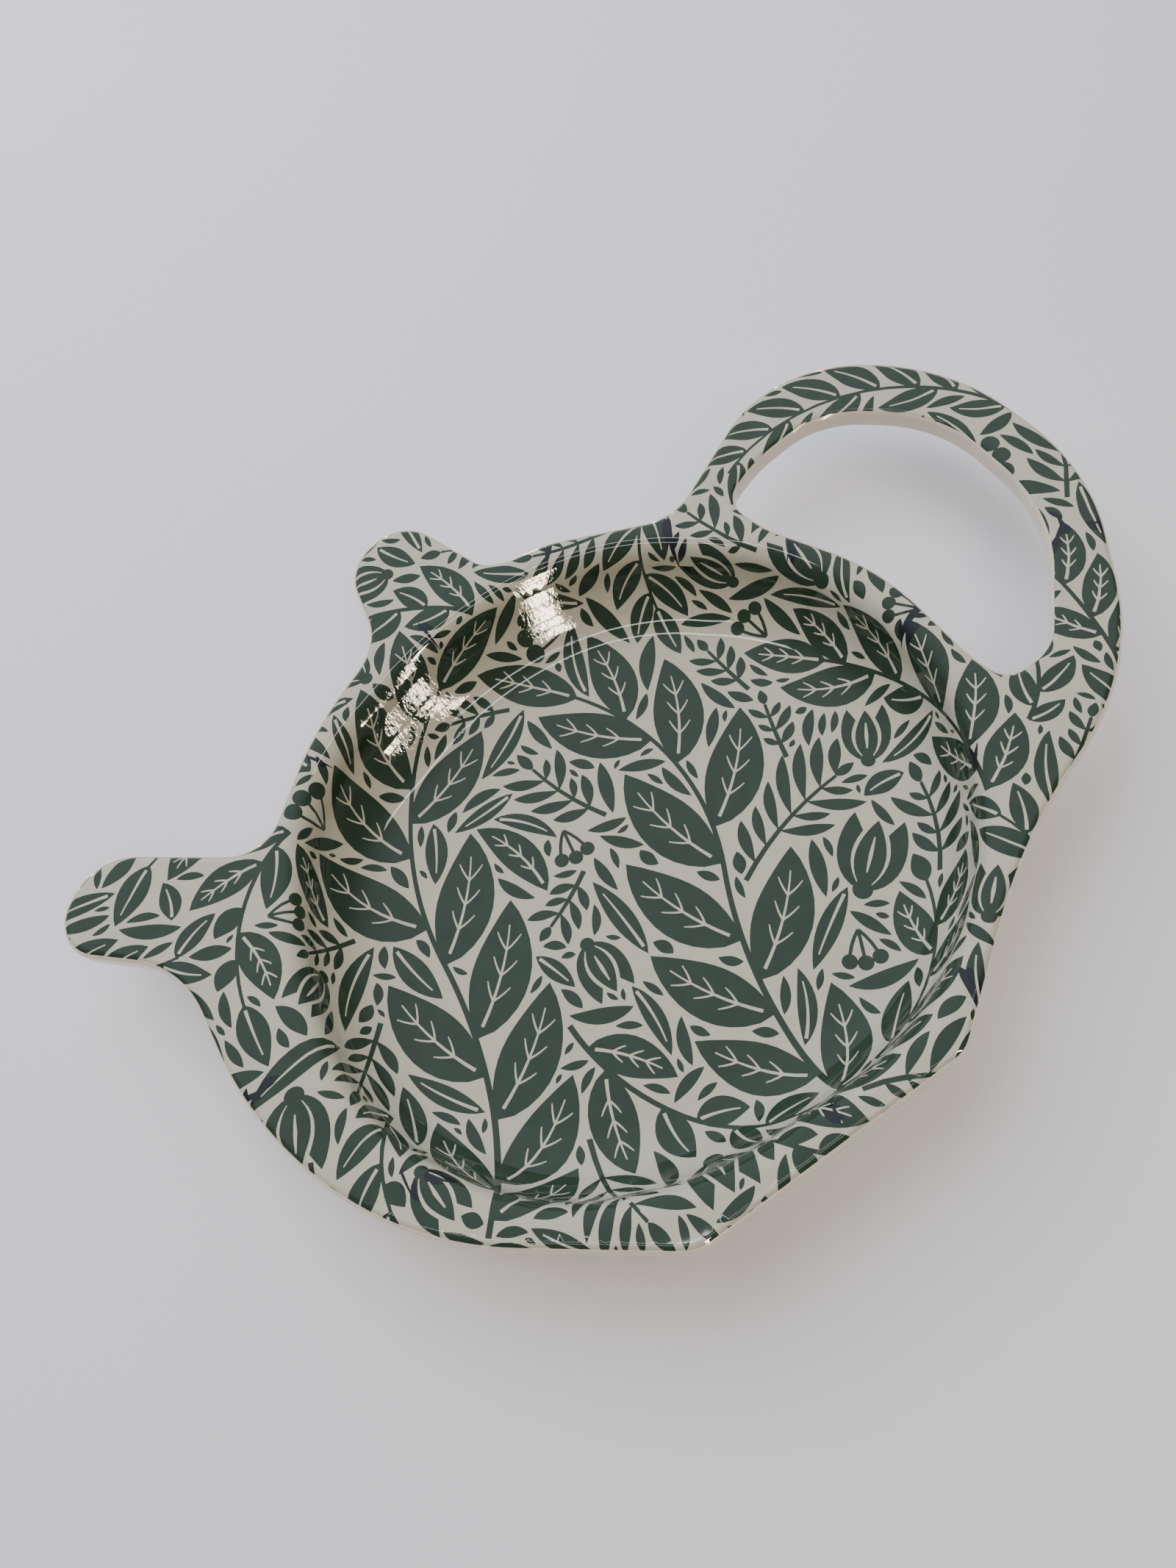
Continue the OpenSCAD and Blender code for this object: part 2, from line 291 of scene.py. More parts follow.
# %% Mesh objects
def finished_mesh(name, points, faces, normals, material_of_face=None):
    """A smooth mesh object in metres, kept in the CAD's box.

    Normals are one for each corner of each face, or one for each point.
    """
    mesh = bpy.data.meshes.new(name)
    mesh.from_pydata(np.clip(np.asarray(points) * MM, *map(tuple, cad_box)).tolist(), [], faces)
    mesh.polygons.foreach_set("use_smooth", [True] * len(mesh.polygons))
    if material_of_face is not None:
        mesh.polygons.foreach_set("material_index", material_of_face)
    if len(normals) == len(mesh.loops):
        mesh.normals_split_custom_set(normals)
    else:
        mesh.normals_split_custom_set_from_vertices(normals)
    obj = bpy.data.objects.new(name, mesh)
    bpy.context.scene.collection.objects.link(obj)
    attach(obj, "root")
    return obj


# %% Sections of the edge and the wall
def edge_arc(edge_r, arc_r, centre_z, start, end, up=1, steps=5):
    """Part of a rounded edge, between two angles that start from its flat face."""
    entries = []
    for angle in np.linspace(start, end, steps + 1).tolist():
        side, rise = math.sin(angle), up * math.cos(angle)
        entries.append((edge_r - arc_r * side, centre_z + arc_r * rise, side, rise))
    return entries


def wall_profile(under, ways, facing_up=1):
    """The section of the well's wall at some depth under its surface."""
    inset, z, slope = along_wall(ways, under)
    side, up = -facing_up * np.sin(slope), facing_up * np.cos(slope)
    return [tuple(float(v) for v in entry) for entry in zip(inset, z, side, up)]


def mirrored(profile):
    """The same section for a hole, where the material lies outside the outline."""
    return [(-inset, z, -side, up) for inset, z, side, up in profile]


TOP_CENTRE_Z, LOW_CENTRE_Z = RIM_Z - EDGE_R, LOW_Z + LOW_EDGE_R
under_coat = edge_arc(EDGE_R, EDGE_R - COAT_T, TOP_CENTRE_Z, 0, FOIL_WRAP)
on_coat = edge_arc(EDGE_R, EDGE_R, TOP_CENTRE_Z, 0, FOIL_WRAP)
bare_edge = edge_arc(EDGE_R, EDGE_R, TOP_CENTRE_Z, FOIL_WRAP, math.pi / 2)
bare_edge += edge_arc(LOW_EDGE_R, LOW_EDGE_R, LOW_CENTRE_Z, math.pi / 2, 0, up=-1)
step_normal = (-math.cos(FOIL_WRAP), math.sin(FOIL_WRAP))
coat_step = [under_coat[-1][:2] + step_normal, on_coat[-1][:2] + step_normal]
print("points in the edge section:", len(under_coat) + len(bare_edge))

# %% [markdown]
# ## The moulding
#
# On the real dish this is one shot of cream melamine powder, pressed hot in a polished steel
# mould. It could be a subdivided box, but the outline has to match the CAD to a tenth of a
# millimetre, so it is lofted from rings: the rounded outer edge, the edge of the finger hole, the
# recess that holds the print, the bowl with its even wall, and the low ring that it stands on.

# %% Make the moulding
ROLL_RINGS, FILLET_RINGS = 9, 13

dish = Shell()
for profile in (under_coat, coat_step, bare_edge):
    dish.loft(SILHOUETTE, profile)
    dish.loft(FINGER_HOLE, mirrored(profile))
dish.flat([(SILHOUETTE, EDGE_R), (FINGER_HOLE, -EDGE_R), (MOUTH, 0)], RIM_Z - COAT_T, 1)
roll_ways = np.linspace(WALL_L, FILLET_L + STRAIGHT_L, ROLL_RINGS)
fillet_ways = np.linspace(FILLET_L, 0, FILLET_RINGS)
wall_ways = np.concatenate([roll_ways, fillet_ways])
dish.loft(MOUTH, wall_profile(COAT_T, wall_ways))
dish.flat([(MOUTH, FLOOR_IN)], FLOOR_Z - COAT_T, 1)

# the bowl's outside starts where it comes out of the plate's underside
all_ways = np.linspace(0, WALL_L, 4000)
meet = float(np.interp(LOW_Z, along_wall(all_ways, WALL_T)[1], all_ways))
outer = wall_profile(WALL_T, np.concatenate([[meet], fillet_ways]), -1)
outer[0] = (outer[0][0], LOW_Z) + outer[0][2:]
dish.loft(MOUTH, outer)
dish.flat([(SILHOUETTE, LOW_EDGE_R), (FINGER_HOLE, -LOW_EDGE_R), (MOUTH, outer[0][0])], LOW_Z, -1)
foot_outer = FLOOR_IN + FOOT_IN
foot_inner = foot_outer + FOOT_W
dish.loft(MOUTH, [(FLOOR_IN, FOOT_H, 0, -1), (foot_outer, FOOT_H, 0, -1)])
dish.loft(MOUTH, [(foot_outer, FOOT_H, 1, 0), (foot_outer, FOOT_BEVEL, 1, 0),
                  (foot_outer + FOOT_BEVEL, 0, 0, -1), (foot_inner - FOOT_BEVEL, 0, 0, -1),
                  (foot_inner, FOOT_BEVEL, -1, 0), (foot_inner, FOOT_H, -1, 0)])
dish.flat([(MOUTH, foot_inner)], FOOT_H, -1)
moulding = finished_mesh("melamine_moulding", dish.points, dish.faces, dish.normals)
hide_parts("dish_moulding")
print("moulding faces:", len(dish.faces))

# %% [markdown]
# ## Laying a flat sheet into the well
#
# The print is made on a flat sheet of paper and pressed into the well with the powder. So the
# pattern is drawn flat too, and every point is then moved to where the sheet ends up: a point
# keeps its distance along the surface from the floor, as paper does, and gets nearer to its
# neighbours round the rim. This is why a real sheet has small creases there, and why the leaves
# don't stretch on the steep wall. At the outer edge and the finger hole the sheet goes on part way
# over the rounding.

# %% Sheet to surface
EXCESS = WALL_L - FLOOR_IN


class NearestLine:
    """Finds the nearest point of some closed lines, and the direction across the line there."""
    def __init__(self, lines):
        self.points = np.concatenate([points for points, _ in lines])
        self.across = np.concatenate([across for _, across in lines])
        self.tree = KDTree(len(self.points))
        for index, (x, y) in enumerate(self.points):
            self.tree.insert((x, y, 0), index)
        self.tree.balance()

    def beyond(self, points):
        """How far each flat point lies across its nearest line, and the direction across."""
        nearest = [self.tree.find((x, y, 0))[1] for x, y in points]
        across = self.across[nearest]
        return np.sum((points - self.points[nearest]) * across, axis=1), across


silhouette_line = divided(*outline(SILHOUETTE, EDGE_R), 0.1)
hole_points, hole_outward = divided(*outline(FINGER_HOLE, -EDGE_R), 0.1)
mouth_line = NearestLine([divided(*outline(MOUTH), 0.1)])
edge_line = NearestLine([silhouette_line, (hole_points, -hole_outward)])


def laid(points, under):
    """Places on the surface, and normals, for points of the flat sheet."""
    outside, out = mouth_line.beyond(points)
    inset, z, slope = along_wall(FLOOR_IN + outside, under)
    flat = points - out * (outside + inset)[:, None]
    lean = -out * np.sin(slope)[:, None]
    over, off = edge_line.beyond(flat)
    angle = np.clip(over, 0, None) / EDGE_R
    roll_over = (EDGE_R - under) * np.sin(angle) - np.clip(over, 0, None)
    flat = flat + off * roll_over[:, None]
    z = z - (EDGE_R - under) * (1 - np.cos(angle))
    lean = lean + off * np.sin(angle)[:, None]
    return np.column_stack([flat, z]), np.column_stack([lean, np.cos(slope) * np.cos(angle)])


def unrolled(points):
    """Flat sheet places of points on the rim."""
    return points + mouth_line.beyond(points)[1] * EXCESS


foil_edge = unrolled(divided(*outline(SILHOUETTE, EDGE_R * (1 - FOIL_WRAP)), 1.0)[0])
foil_hole = unrolled(divided(*outline(FINGER_HOLE, -EDGE_R * (1 - FOIL_WRAP)), 1.0)[0])
print("paper drawn into the well, in mm:", round(EXCESS, 2))

# %% [markdown]
# ## Drawing the print
#
# The pattern is a plain leaf print of our own: sprays of oval leaves with a rib, fern fronds,
# tulips, berries and small loose leaves, in one ink on bare paper. A printed leaf has a crisp edge,
# so every motif is an outline that is later cut into the mesh, which no noise texture could do. To
# pack the motifs closely, a coarse map remembers which paper is taken. A motif is drawn only where
# its outline is free, and smaller if it has to be, and the last leaves are fitted to the gaps.

# %% Paper map
CELL, MAP_MARGIN = 0.25, 4
MAP_LOW = foil_edge.min(axis=0) - MAP_MARGIN
map_size = np.ceil((foil_edge.max(axis=0) + MAP_MARGIN - MAP_LOW) / CELL).astype(int)
taken = np.zeros(map_size, bool)
motifs = []


def map_cells(points):
    return np.clip(((np.asarray(points) - MAP_LOW) / CELL).astype(int), 0, map_size - 1)


def is_free(points):
    i, j = map_cells(points).T
    return not taken[i, j].any()


def take(polygon, gap):
    """Marks the paper inside a polygon, and up to gap round it, as taken."""
    polygon = np.asarray(polygon)
    low, high = map_cells([polygon.min(axis=0) - gap, polygon.max(axis=0) + gap])
    ranges = [np.arange(low[axis], high[axis] + 1) for axis in (0, 1)]
    spots = (np.stack(np.meshgrid(*ranges, indexing="ij"), -1) + 0.5) * CELL + MAP_LOW
    inside = np.zeros(spots.shape[:2], bool)
    near = np.full(spots.shape[:2], np.inf)
    for a, b in zip(polygon, np.roll(polygon, -1, axis=0)):
        crosses = (a[1] > spots[..., 1]) != (b[1] > spots[..., 1])
        with np.errstate(divide="ignore", invalid="ignore"):
            at = (b[0] - a[0]) * (spots[..., 1] - a[1]) / (b[1] - a[1]) + a[0]
        inside ^= crosses & (spots[..., 0] < at)
        side = b - a
        t = np.clip(((spots - a) @ side) / max(side @ side, 1e-9), 0, 1)
        near = np.minimum(near, np.linalg.norm(spots - a - t[..., None] * side, axis=-1))
    taken[low[0]:high[0] + 1, low[1]:high[1] + 1] |= inside | (near < gap)


def draw(kind, polygon, gap=None):
    """Adds an outline to the print. With a gap, it also takes its paper."""
    motifs.append((kind, np.asarray(polygon)))
    if gap is not None:
        take(polygon, gap)


print("paper map cells:", map_size)

# %% Lines, bands and blades
GAP = 0.42  # bare paper left between motifs, in mm


def heading(angle):
    return np.array((math.cos(angle), math.sin(angle)))


def halved(points):
    """The same closed line with a point more in the middle of each side."""
    points = np.asarray(points)
    return np.concatenate([points, (points + np.roll(points, -1, axis=0)) / 2])


def curved_line(start, angle, length, bend, steps):
    """Points and headings of a line whose heading turns evenly by bend from end to end."""
    points, angles = [np.asarray(start, float)], [angle]
    for k in range(steps):
        angles.append(angle + bend * (k + 1) / steps)
        points.append(points[-1] + heading((angles[-1] + angles[-2]) / 2) * length / steps)
    return np.array(points), np.array(angles)


def band(line, angles, widths):
    """A stem's outline round its middle line."""
    side = np.column_stack([-np.sin(angles), np.cos(angles)]) * (np.asarray(widths) / 2)[:, None]
    return np.concatenate([line + side, (line - side)[::-1]])


def blade(start, angle, length, width, bend, fullest=0.45, steps=11):
    """A leaf's outline, middle line and headings. It is fullest at that share of its length."""
    line, angles = curved_line(start, angle, length, bend, steps)
    t = np.linspace(0, 1, steps + 1)
    half = width / 2 * np.sin(math.pi * t ** (math.log(0.5) / math.log(fullest))) ** 0.85
    side = np.column_stack([-np.sin(angles), np.cos(angles)]) * half[:, None]
    return np.concatenate([line + side, (line - side)[-2:0:-1]]), line, angles


def disc(centre, radius, corners=14):
    return [centre + radius * heading(math.tau * k / corners) for k in range(corners)]


print("corners of a leaf:", len(blade((0, 0), 0, 10, 4, 0)[0]))
print("corners of a berry:", len(disc(np.zeros(2), 1)))

# %% Leaves and what grows them
RIB_FROM, VEINS_FROM = (6, 2.6), (11, 4.4)  # the length and width from which a leaf has them, in mm


def draw_leaf(start, angle, length, width, bend, fullest=0.45, root=3):
    """Draws a leaf if its paper is free but for its root, and says if it did."""
    edge, line, angles = blade(start, angle, length, width, bend, fullest)
    if not (is_free(halved(halved(edge[root:len(edge) - root]))) and is_free(line[root + 1:])):
        return False
    draw("ink", edge, GAP)
    if length > RIB_FROM[0] and width > RIB_FROM[1]:
        draw("bare", band(line[1:-2], angles[1:-2], np.linspace(0.5, 0.2, len(line) - 3)))
    if length > VEINS_FROM[0] and width > VEINS_FROM[1]:
        for at in (3, 5, 7):
            for side in (1, -1):
                leaving = angles[at] + side * 0.75
                vein, turns = curved_line(line[at], leaving, width * 0.36, -side * 0.3, 3)
                draw("bare", band(vein, turns, (0.3, 0.28, 0.24, 0.16)))
    return True


def try_leaf(start, angle, length, width, bend, fullest=0.45, smallest=0.38):
    """Draws the largest leaf from this place that is free."""
    return any(draw_leaf(start, angle, length * size, width * (0.3 + 0.7 * size), bend, fullest)
               for size in np.arange(1, smallest, -0.09))


def grown(stem, angles, roots, widths, enough):
    """Draws leaves, given as try_leaf's values, and their stem, if enough of the leaves fit."""
    before, paper = len(motifs), taken.copy()
    if sum([try_leaf(*root) for root in roots]) < enough * len(roots):
        del motifs[before:]
        taken[:] = paper
        return False
    draw("ink", band(stem, angles, widths), GAP)
    return True


# %% Sprays and ferns
def try_spray(start, angle, length, bends, leaf, plump, enough, spread=0.85):
    """A stem with paired leaves that turns first one way and then the other."""
    steps = max(4, int(length / 4))
    first, a = curved_line(start, angle, length / 2, bends[0], steps)
    second, b = curved_line(first[-1], a[-1], length / 2, bends[1], steps)
    line, angles = np.concatenate([first, second[1:]]), np.concatenate([a, b[1:]])
    if not is_free(line):
        return False
    ways, way, roots = np.linspace(0, 1, len(line)), 0.05 * length, []
    while way < 0.96 * length:
        s = way / length
        at = np.array([np.interp(s, ways, line[:, 0]), np.interp(s, ways, line[:, 1])])
        turn = np.interp(s, ways, angles)
        size = leaf * (0.6 + 0.4 * math.sin(math.pi * (0.15 + 0.75 * s)))
        for side in (1, -1):
            root = at + heading(turn) * (0.15 * size * side)
            roots.append((root, turn + side * spread, size, size * plump, -side * 0.5))
        way += (size * plump + GAP) / math.sin(spread)
    tip = line[-1] - heading(angles[-1]) * 0.5
    roots.append((tip, angles[-1], leaf * 0.8, leaf * 0.8 * plump, bends[1] * 0.3))
    thickness = 0.45 + leaf * 0.025
    return grown(line, angles, roots, np.linspace(thickness, thickness * 0.6, len(line)), enough)


def try_fern(start, angle, length, bend, leaflet):
    """A frond of narrow leaflets that shorten towards its tip."""
    steps = max(4, int(length * 0.87 / (leaflet + 1.3 * GAP)))
    line, angles = curved_line(start, angle, length, bend, steps)
    if not is_free(halved(line)):
        return False
    roots = [(line[-2], angles[-2], length * 0.22, leaflet, 0)]
    for k in range(1, len(line) - 1):
        reach = 0.42 * length * math.sin(math.pi * (0.2 + 0.72 * k / len(line)))
        for side in (1, -1):
            roots.append((line[k], angles[k] + side * 1.05, reach, leaflet, -side * 0.45, 0.55))
    return grown(line[:-1], angles[:-1], roots, np.linspace(0.8, 0.5, len(line) - 1), 0.7)


# %% Tulips and berries
def try_tulip(start, angle, size):
    """A cup of three petals with pointed tips."""
    start = np.asarray(start, float)
    outer = [blade(start, angle + side * 0.55, size, size * 0.4, -side * 0.5, 0.4)[0]
             for side in (1, -1)]
    middle = blade(start, angle, size * 0.9, size * 0.36, 0, 0.45)[0]
    if not all(is_free(halved(part)) for part in outer + [middle]):
        return False
    for petal in outer:
        draw("ink", petal, GAP)
    draw("bare", blade(start, angle, size * 0.97, size * 0.36 + 1.0, 0, 0.45)[0])
    draw("ink", middle, GAP)
    line, angles = curved_line(start + heading(angle) * 0.22 * size, angle, size * 0.46, 0, 4)
    draw("bare", band(line, angles, (0.2, 0.4, 0.55, 0.4, 0.2)))
    draw("ink", disc(start, size * 0.12), GAP)
    return True


def try_berries(start, angle, size):
    """Three berries on thin stalks."""
    start = np.asarray(start, float)
    stalks = [curved_line(start, angle + side * 0.7, size, -side * 0.5, 4) for side in (-1, 0, 1)]
    berries = [disc(line[-1], size * 0.23) for line, _ in stalks]
    if not all(is_free(halved(berry)) for berry in berries):
        return False
    if not all(is_free(line) for line, _ in stalks):
        return False
    for (line, angles), berry in zip(stalks, berries):
        draw("ink", band(line, angles, np.full(5, 0.5)), GAP)
        draw("ink", berry, GAP)
    return True


# %% Leaves for the gaps
def free_way(spot, angle, longest):
    """How far the paper is free from a spot in a direction."""
    steps = np.arange(0, longest, CELL)
    i, j = map_cells(spot + heading(angle) * steps[:, None]).T
    blocked = np.nonzero(taken[i, j])[0]
    return steps[blocked[0]] if len(blocked) else longest


def fit_leaf(spot, longest, shortest):
    """Fits a leaf to the free paper round a spot, along its longest way."""
    first = dice.uniform(0, math.pi)
    if not is_free([spot]):
        return
    ways = [(free_way(spot, a, longest) + free_way(spot, a + math.pi, longest), a)
            for a in (first + k * math.pi / 6 for k in range(6))]
    length, angle = max(ways)
    start = spot - heading(angle) * (free_way(spot, angle + math.pi, longest) - CELL)
    bend = dice.uniform(-0.7, 0.7)
    for size in (0.99, 0.9, 0.8, 0.7, 0.6):
        reach = min(longest, length * size)
        if reach < shortest:
            return
        for plump in (0.6, 0.45, 0.32, 0.22):
            if draw_leaf(start, angle - bend / 2, reach, reach * plump + 0.3, bend, 0.48, 0):
                return


# %% Fill the sheet
dice = random.Random(12)
SPRAYS = [
    # start x, start y, heading in degrees, length, turn of each half in degrees, leaf length
    (-44, -38, 50, 92, (36, -52), 21.0),
    (6, -46, 96, 78, (-34, 60), 21.0),
    (50, -42, 104, 70, (24, 34), 18.0),
    (-72, -10, 84, 66, (-50, -30), 15.0),
    (-62, 52, -60, 60, (30, 40), 15.0),
    (16, 66, -152, 52, (24, 40), 13.0),
    (72, -34, 60, 60, (26, 40), 12.0),
    (98, 20, 100, 56, (50, 50), 11.0),
    (-34, -58, 10, 46, (20, 26), 13.0),
    (-92, 40, -20, 34, (-20, 30), 11.0),
    (54, 56, -165, 34, (30, 30), 11.0),
]
for x, y, angle, length, turns, leaf in SPRAYS:
    bends = [math.radians(turn) for turn in turns]
    try_spray((x, y), math.radians(angle), length, bends, leaf, plump=0.41, enough=0)


def scattered(count):
    """Places strewn evenly over the sheet, by steps like the golden ratio's in two directions."""
    span = foil_edge.max(axis=0) - foil_edge.min(axis=0)
    for k in range(count):
        shares = np.array([(k * step) % 1 for step in (0.7548777, 0.5698403)])
        yield foil_edge.min(axis=0) + span * shares


def drift(spot):
    """A heading that swirls round the well, with some chance in it."""
    return math.atan2(spot[1], spot[0]) + 1.1 + 0.7 * math.sin(spot[0] / 17) + dice.uniform(-0.5, 0.5)


for size, tries in ((12, 26), (9, 40)):
    for spot in scattered(tries):
        try_tulip(spot, drift(spot), size)
for length, leaf, tries in ((40, 16, 600), (30, 13, 800), (22, 10, 1000)):
    for spot in scattered(tries):
        try_spray(spot, drift(spot), length, (0.6, 0.5), leaf, plump=0.43, enough=0.7)
for length, leaflet, tries in ((24, 2.0, 700), (17, 1.8, 900), (12, 1.5, 1200)):
    for spot in scattered(tries):
        try_fern(spot, drift(spot), length, dice.uniform(-0.7, 0.7), leaflet)
for size, tries in ((6.5, 500), (4.8, 500)):
    for spot in scattered(tries):
        try_berries(spot, dice.uniform(0, math.tau), size)
for longest, shortest, tries in ((17, 10, 1500), (11, 6, 3000), (7, 3.2, 6000), (3.6, 1.3, 9000)):
    for spot in scattered(tries):
        fit_leaf(spot, longest, shortest)
print("motifs on the sheet:", len(motifs))

# %% [markdown]
# ## Creases
#
# Paper that is pressed into a bowl has too much edge, and it folds over itself in short pleats at
# the rim. Each shows as a fine dark stroke, thickest where the pleat starts, and beside it the ink
# is darker and bluer where two layers of print lie on each other. The pleats could be modelled as
# folds, but they are nearly flat and it is their colour that shows. So a pleat is drawn as a
# narrow blade, and the doubled print as a wider one that changes only what is inked.

# %% Draw the creases
CREASES = [
    # x, y on the dish seen from above, heading in degrees, length and width, bend in degrees
    (57.6, 2.6, -172, 8.5, 1.3, 25), (-41.8, -22.6, -49, 4.6, 0.7, 0),
    (-43.9, -20.5, -95, 5.5, 0.4, 10), (75.0, -1.5, 5, 5.2, 1.1, 20),
    (80.2, -1.2, 62, 4.6, 0.9, 20), (86.6, -4.2, 139, 4.6, 0.7, -20),
    (89.6, 4.0, -106, 9.0, 0.4, -10), (22.5, 48.3, -126, 6.5, 1.2, -15),
    (38.9, 39.6, -120, 10.5, 1.1, 8), (44.8, -20.2, 16, 4.4, 0.9, 30),
    (26.0, -40.4, -114, 5.4, 1.1, 0), (-58.0, -0.9, -20, 6.0, 1.0, 25),
    (-2.0, 48.0, -90, 6.5, 0.6, 12), (2.5, -46.9, 80, 4.0, 0.5, -10),
    (-27.0, 38.5, -60, 5.0, 0.6, 10), (51.5, 24.0, -150, 6.0, 0.5, 15),
    (-67.0, 22.0, 10, 5.0, 0.7, -20), (8.5, 63.5, -80, 6.0, 0.5, 10),
]
for x, y, turn, length, width, bend in CREASES:
    start, angle = unrolled(np.array([[x, y]]))[0], math.radians(turn)
    turned, double_width = math.radians(bend), 1.4 + width * 1.6
    draw("double", blade(start, angle + 0.12, length * 1.1, double_width, turned, 0.35, 8)[0])
    draw("fold", blade(start, angle, length, width, turned, 0.25, 8)[0])
print("creases:", len(CREASES))

# %% [markdown]
# ## Cutting the print into a mesh
#
# Every motif becomes faces of the sheet, and a picture laid over the mesh isn't needed. A knife
# or a boolean for each motif would be slow and leave slivers. A constrained triangulation takes
# all outlines at once and returns triangles that never cross one, and it says which outlines each
# triangle lies in. It fills an outline to the left of its line, so each one has to run
# counterclockwise, and where outlines lie over each other the one drawn last wins. Extra points on
# rings along the wall and the edges give the curved parts enough faces. The finished sheet is then
# laid into the well.

# %% Cut the sheet
WALL_RINGS, RING_SPACING, EDGE_SPACING = 27, 1.6, 0.8

polygons = [("sheet", foil_edge), ("hole", foil_hole)] + motifs
flat_points, flat_faces = [], []
for kind, polygon in polygons:
    x, y = np.asarray(polygon).T
    counterclockwise = np.sum(x * np.roll(y, -1) - y * np.roll(x, -1)) > 0
    flat_faces.append(list(range(len(flat_points), len(flat_points) + len(polygon))))
    flat_points += [Vector(p) for p in (polygon if counterclockwise else polygon[::-1])]
ring_points, ring_outward = (part[::2] for part in divided(*outline(MOUTH), RING_SPACING))
for way in np.linspace(0, WALL_L, WALL_RINGS):
    flat_points += [Vector(p) for p in ring_points + ring_outward * (way - FLOOR_IN)]
for rolled in (0, 0.35, 0.7):
    inset = EDGE_R * (1 - rolled * FOIL_WRAP)
    for edge_ring in (outline(SILHOUETTE, inset), outline(FINGER_HOLE, -inset)):
        flat_points += [Vector(p) for p in unrolled(divided(*edge_ring, EDGE_SPACING)[0])]
cut_points, _, cut_faces, _, _, sources = delaunay_2d_cdt(flat_points, [], flat_faces, 0, 1e-4, True)
print("triangles cut:", len(cut_faces))

# %% Sort the triangles and lay the sheet
SLOTS = {"sheet": 0, "bare": 0, "ink": 1, "fold": 2}

kinds = [kind for kind, _ in polygons]
faces, face_slots = [], []
for face, source in zip(cut_faces, sources):
    inside = [kinds[s] for s in sorted(source)]
    if "sheet" in inside and "hole" not in inside:
        faces.append(list(face))
        top = [kind for kind in inside if kind != "double"][-1]
        face_slots.append(SLOTS["fold" if top == "ink" and "double" in inside else top])
used = np.unique(faces)
flat_xy = np.array([tuple(cut_points[i]) for i in used])
faces = np.searchsorted(used, faces).tolist()
foil_points, foil_normals = laid(flat_xy, GLAZE_T)
foil = finished_mesh("printed_foil", foil_points, faces, foil_normals, face_slots)
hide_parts("decal_foil")


def flat_area(face):
    a, b, c = (flat_xy[i] for i in face)
    return abs((b - a)[0] * (c - a)[1] - (b - a)[1] * (c - a)[0]) / 2


areas = np.array([flat_area(face) for face in faces])
inked_area = areas[np.array(face_slots) == SLOTS["ink"]].sum()
print("foil triangles:", len(faces), "ink share:", round(float(inked_area / areas.sum()), 3))

# %% [markdown]
# ## The clear coat
#
# The coat is a second pressing of clear melamine over the paper. It is the outermost skin: flush
# with the bare edge, and following the wall with the exact profile. A gloss on the print's own
# shader would nearly do, but the real coat is a layer with an edge, and so it is one here.

# %% Make the coat
coat = Shell()
coat.flat([(SILHOUETTE, EDGE_R), (FINGER_HOLE, -EDGE_R), (MOUTH, 0)], RIM_Z, 1)
coat.loft(SILHOUETTE, on_coat)
coat.loft(FINGER_HOLE, mirrored(on_coat))
coat.loft(MOUTH, wall_profile(0, wall_ways))
coat.flat([(MOUTH, FLOOR_IN)], FLOOR_Z, 1)
glaze = finished_mesh("clear_coat", coat.points, coat.faces, coat.normals)
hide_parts("clear_glaze")
print("coat faces:", len(coat.faces))

# %% [markdown]
# ## Materials
#
# One small function adds a node with its settings and links, and one turns the sRGB hex values
# that a person picks into the linear values that a shader wants.

# %% Material helpers
def colour(hex_code, alpha=1.0):
    """Linear red, green, blue and alpha of an sRGB hex value."""
    parts = [int(hex_code[i:i + 2], 16) / 255 for i in (1, 3, 5)]
    return [c / 12.92 if c <= 0.04045 else ((c + 0.055) / 1.055) ** 2.4 for c in parts] + [alpha]


def add_node(tree, kind, sockets=None, **settings):
    """A node with its fields set. A socket takes a value, or a (node, output) pair to link."""
    node = tree.nodes.new(kind)
    for field, value in settings.items():
        setattr(node, field, value)
    for name, value in (sockets or {}).items():
        if isinstance(value, tuple) and isinstance(value[0], bpy.types.Node):
            tree.links.new(value[0].outputs[value[1]], node.inputs[name])
        else:
            node.inputs[name].default_value = value
    return node


def new_material(name):
    material = bpy.data.materials.new(name)
    material.use_nodes = True
    material.node_tree.nodes.clear()
    return material, material.node_tree


print("a middle grey of #808080 is", round(colour("#808080")[0], 3), "to a shader")

# %% [markdown]
# ## Waves in the gloss
#
# Cured melamine copies the polished mould, so it mirrors the room sharply. Where pleats of paper
# lie under the coat the surface is wavy, and the window marks there are ragged. The waves are a
# few hundredths of a millimetre high and only the gloss shows them, so they are bump, and the mesh
# keeps the exact wall. A steep straight wall would mirror the dish itself, and break the marks in
# two. At the same two spots a smooth swelling in the bump leans its normals back by up to 18
# degrees, and so the wall mirrors the windows from top to bottom.

# %% Waves in the gloss
PLEAT_SPOTS = ((16.3, 41.1, 10.0), (-8.5, 39.0, 10.0))
PLEAT_REACH = (9.5, 6.0)  # the waves begin at the first distance and are full at the second
WAVE_SPACING, WAVE_STRETCH, WAVE_H = 0.8, 0.35, 0.025
SWELLING_Z, SWELLING_H = (14.4, 8.7), 1.28  # the swelling grows from the first height to the second
CALM = 0.015  # what is left of the waves away from the spots


